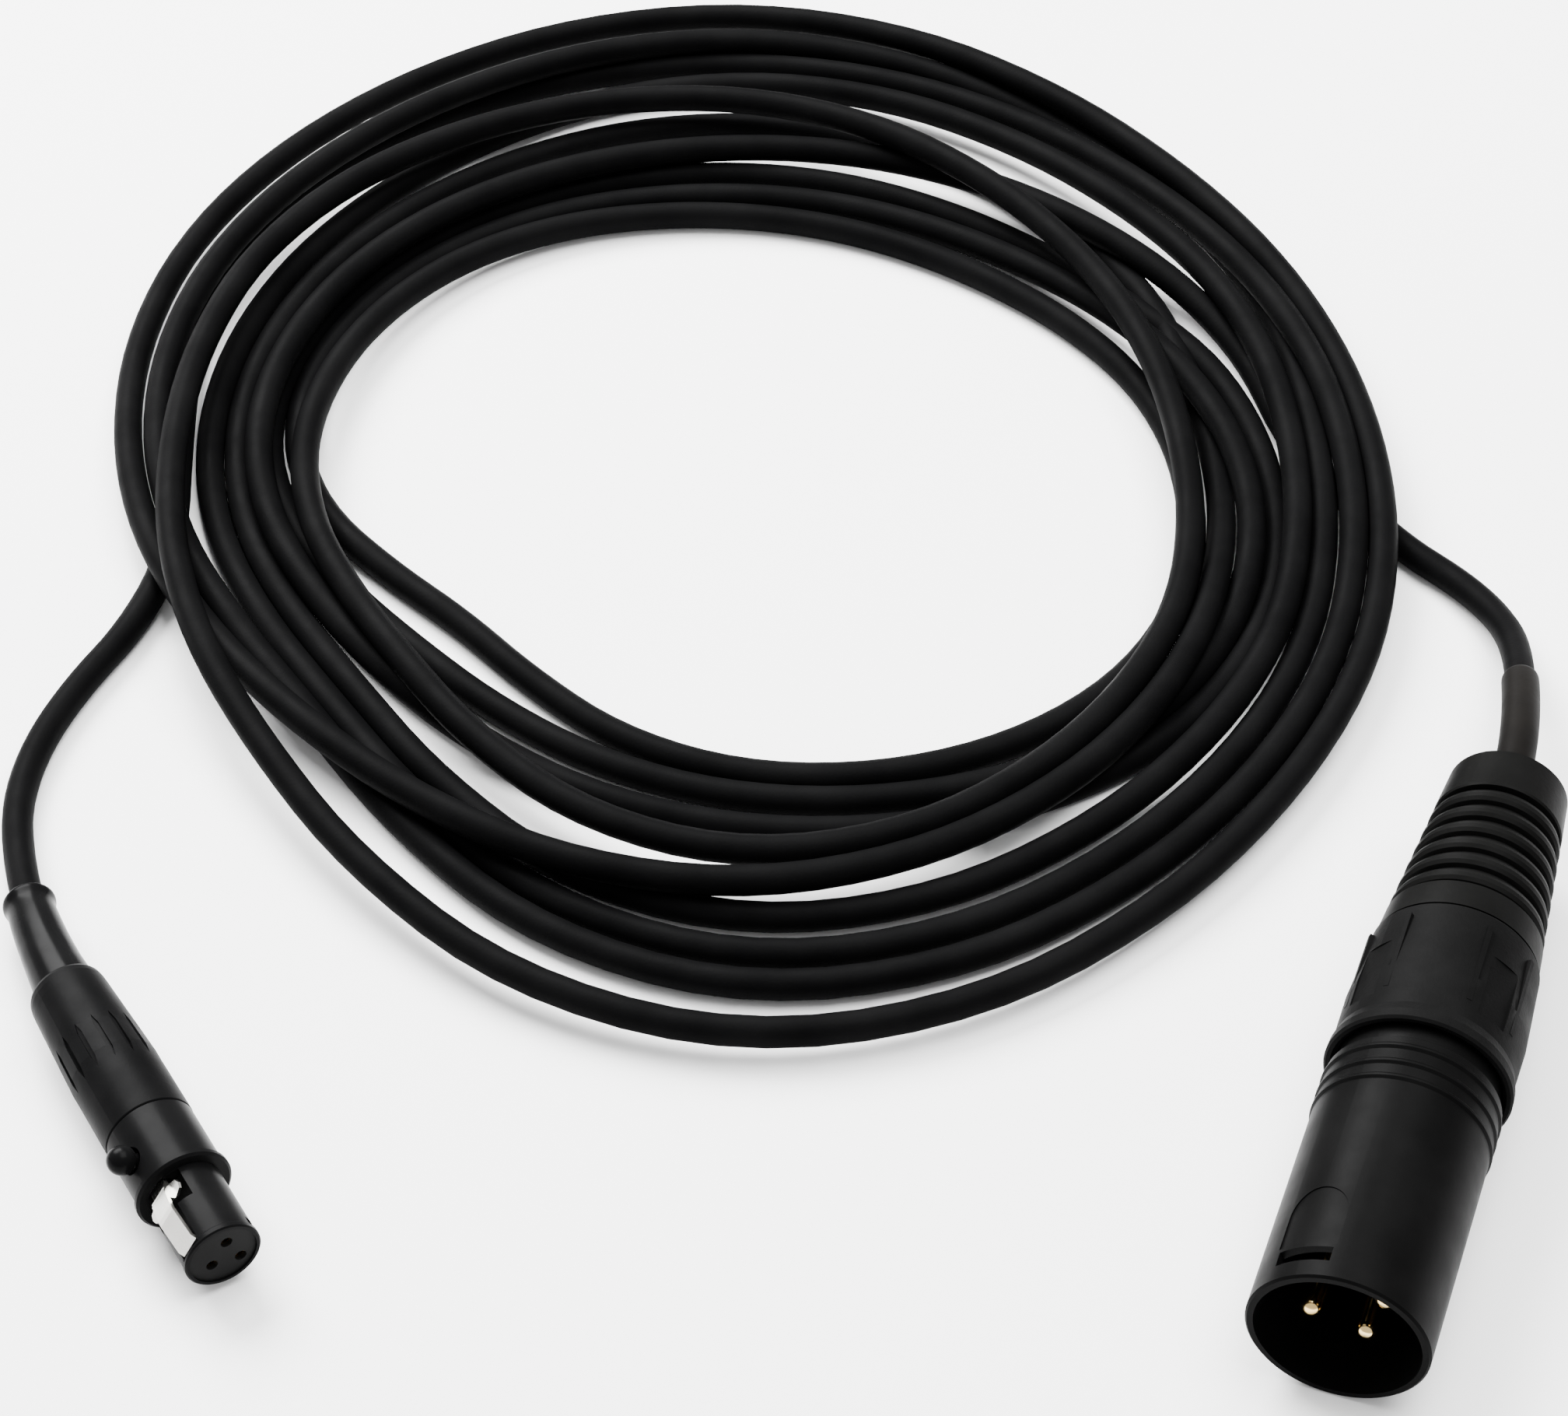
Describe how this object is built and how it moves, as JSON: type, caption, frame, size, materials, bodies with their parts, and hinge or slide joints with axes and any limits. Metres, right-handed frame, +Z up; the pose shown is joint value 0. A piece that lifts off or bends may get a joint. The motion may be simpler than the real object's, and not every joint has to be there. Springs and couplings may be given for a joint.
{
  "type": "xlr cable coil",
  "caption": "Loosely coiled thin black microphone cable with a full-size XLR pin plug on one end and a small latching mini XLR socket plug on the other.",
  "frame": {"origin": "on the table, under the middle of the whole part seen from above", "axes": "+Z up from the table, +Y from the plugs towards the far side of the coil, +X from the small plug towards the large plug"},
  "size_m": [0.1826, 0.253, 0.0204],
  "materials": {
    "shell_black_metal": "satin black plating",
    "insert_plastic": "moulded",
    "gold_contact": "gold plated",
    "nickel_spring": "nickel plated",
    "chuck_plastic": "moulded",
    "bushing_plastic": "fine grain",
    "boot_rubber": "soft satin",
    "small_plug_metal": "satin black plating",
    "backshell_metal": "matte black plating",
    "button_plastic": "gloss",
    "relief_plastic": "gloss",
    "shrink_sleeve": "matte",
    "cable_jacket": "matte flexible PVC",
    "core_screen": "insulated braid",
    "core_red": "insulated core",
    "core_white": "insulated core"
  },
  "bodies": {
    "cable_and_shells": {"cable_coil": "cable_jacket", "cable_mini_tail": "cable_jacket", "cable_pin_plug_tail": "cable_jacket", "mini_barrel": "small_plug_metal", "mini_cable_clamp": "nickel_spring", "mini_flex_relief": "relief_plastic", "mini_insert": "insert_plastic", "mini_jacket_end": "cable_jacket", "mini_latch_spring": "nickel_spring", "mini_nose": "small_plug_metal", "mini_pivot_pin": "nickel_spring", "mini_socket_1": "gold_contact", "mini_socket_2": "gold_contact", "mini_socket_3": "gold_contact", "mini_wire_1": "core_screen", "mini_wire_2": "core_red", "mini_wire_3": "core_white", "pin_plug_ground_spring": "nickel_spring", "pin_plug_insert": "insert_plastic", "pin_plug_jacket_end": "cable_jacket", "pin_plug_pin_1": "gold_contact", "pin_plug_pin_2": "gold_contact", "pin_plug_pin_3": "gold_contact", "pin_plug_shell": "shell_black_metal", "pin_plug_sleeve": "shrink_sleeve", "pin_plug_wire_1": "core_screen", "pin_plug_wire_2": "core_red", "pin_plug_wire_3": "core_white"},
    "button": {"mini_button": "button_plastic"},
    "latch": {"mini_latch": "nickel_spring"},
    "chuck": {"pin_plug_chuck": "chuck_plastic"},
    "bushing": {"pin_plug_bushing": "bushing_plastic", "pin_plug_boot": "boot_rubber"},
    "liner": {"mini_liner": "chuck_plastic"},
    "backshell": {"mini_backshell": "backshell_metal"}
  },
  "joints": [
    {"name": "button_press", "type": "slide", "parent": "cable_and_shells", "child": "button", "axis": [0.6895, 0.4029, -0.6018], "range_m": [0, 0.00045], "stiffness_N_per_m": 2000, "springref_m": -0.0001},
    {"name": "latch_tilt", "type": "hinge", "parent": "cable_and_shells", "child": "latch", "pos_m": [-0.07078, -0.09143, 0.00711], "axis": [0.5196, 0.3036, 0.7986], "range_deg": [0, 3.05]},
    {"name": "chuck_slide", "type": "slide", "parent": "cable_and_shells", "child": "chuck", "axis": [0.3469, 0.9377, 0.0192], "range_m": [0, 0.0075]},
    {"name": "bushing_turn", "type": "hinge", "parent": "chuck", "child": "bushing", "pos_m": [0.07051, -0.08204, 0.01038], "axis": [0.3469, 0.9377, 0.0192], "range_deg": [0, 1800]},
    {"name": "liner_slide", "type": "slide", "parent": "cable_and_shells", "child": "liner", "axis": [-0.5045, 0.8634, 0], "range_m": [0, 0.005]},
    {"name": "backshell_turn", "type": "hinge", "parent": "liner", "child": "backshell", "pos_m": [-0.07238, -0.08426, 0.00542], "axis": [-0.5045, 0.8634, 0], "range_deg": [0, 2400]}
  ],
  "couplings": [
    {"joint": "latch_tilt", "follows": "button_press", "rad_per_m": 117.65},
    {"joint": "bushing_turn", "follows": "chuck_slide", "rad_per_m": 4188.8},
    {"joint": "backshell_turn", "follows": "liner_slide", "rad_per_m": 8377.6}
  ]
}
